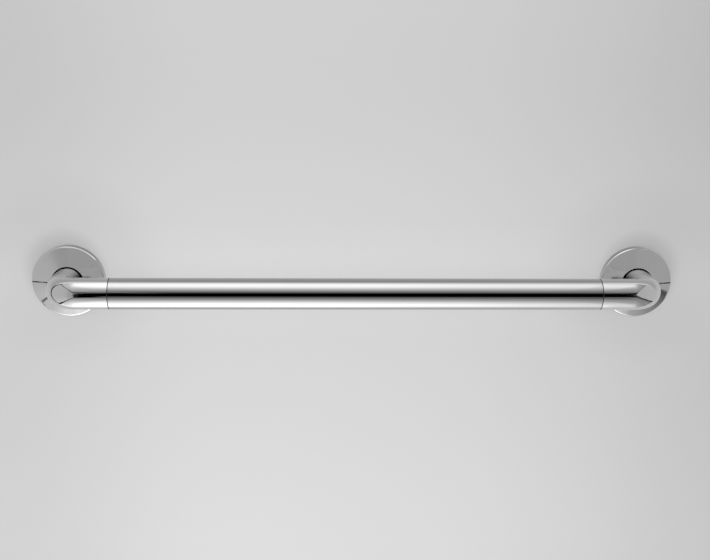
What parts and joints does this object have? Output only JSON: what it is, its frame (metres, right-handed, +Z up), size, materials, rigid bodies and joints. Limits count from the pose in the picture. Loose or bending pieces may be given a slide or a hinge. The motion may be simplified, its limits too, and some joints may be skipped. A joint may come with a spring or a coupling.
{
  "type": "grab bar",
  "caption": "Straight wall-mounted grab bar: a polished round tube on tight elbows, each welded to a hidden screw plate under a coned, split wall cover.",
  "frame": {"origin": "on the wall plane, midway between the two posts, at the level of the tube's axis", "axes": "+X along the tube to the right as seen from the room, +Y into the wall, +Z up"},
  "size_m": [0.676, 0.07, 0.076],
  "materials": {
    "polished_steel": "mirror polished",
    "polished_elbow": "mirror polished",
    "turned_steel": "fine turned",
    "plate_steel": "mill finish",
    "cover_metal": "satin polished"
  },
  "bodies": {
    "root": {"grip_tube": "polished_steel", "elbow_left": "polished_elbow", "elbow_right": "polished_elbow", "joint_sleeve_left": "turned_steel", "joint_sleeve_right": "turned_steel", "wall_plate_left": "plate_steel", "wall_plate_right": "plate_steel", "cover_upper_left": "cover_metal", "cover_lower_left": "cover_metal", "cover_upper_right": "cover_metal", "cover_lower_right": "cover_metal"}
  },
  "joints": []
}
